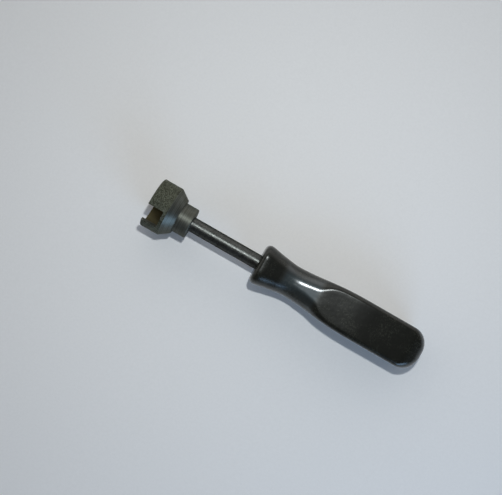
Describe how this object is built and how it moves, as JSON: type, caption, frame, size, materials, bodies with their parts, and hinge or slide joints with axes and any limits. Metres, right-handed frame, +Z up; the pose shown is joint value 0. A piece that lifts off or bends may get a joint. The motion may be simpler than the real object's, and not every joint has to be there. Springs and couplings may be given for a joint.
{
  "type": "brake spring washer tool",
  "caption": "Hand tool for the hold-down springs of drum brakes: a slotted, stepped steel cup on a round steel rod, with a black moulded handle.",
  "frame": {"origin": "centre of the cup's mouth, on the tool's axis", "axes": "+X along the tool's axis, from the cup's mouth to the butt of the handle; +Z up, square to the handle's upper and lower flats; +Y across"},
  "size_m": [0.1608, 0.0273, 0.0272],
  "materials": {
    "blackened_steel": "turned and blackened, with the raw bar's grainy skin left on the cup",
    "black_rod": "glossy black oxide",
    "black_plastic": "glossy moulded plastic with light handling scuffs"
  },
  "bodies": {
    "root": {"head": "blackened_steel", "shaft": "black_rod", "handle": "black_plastic"}
  },
  "joints": []
}
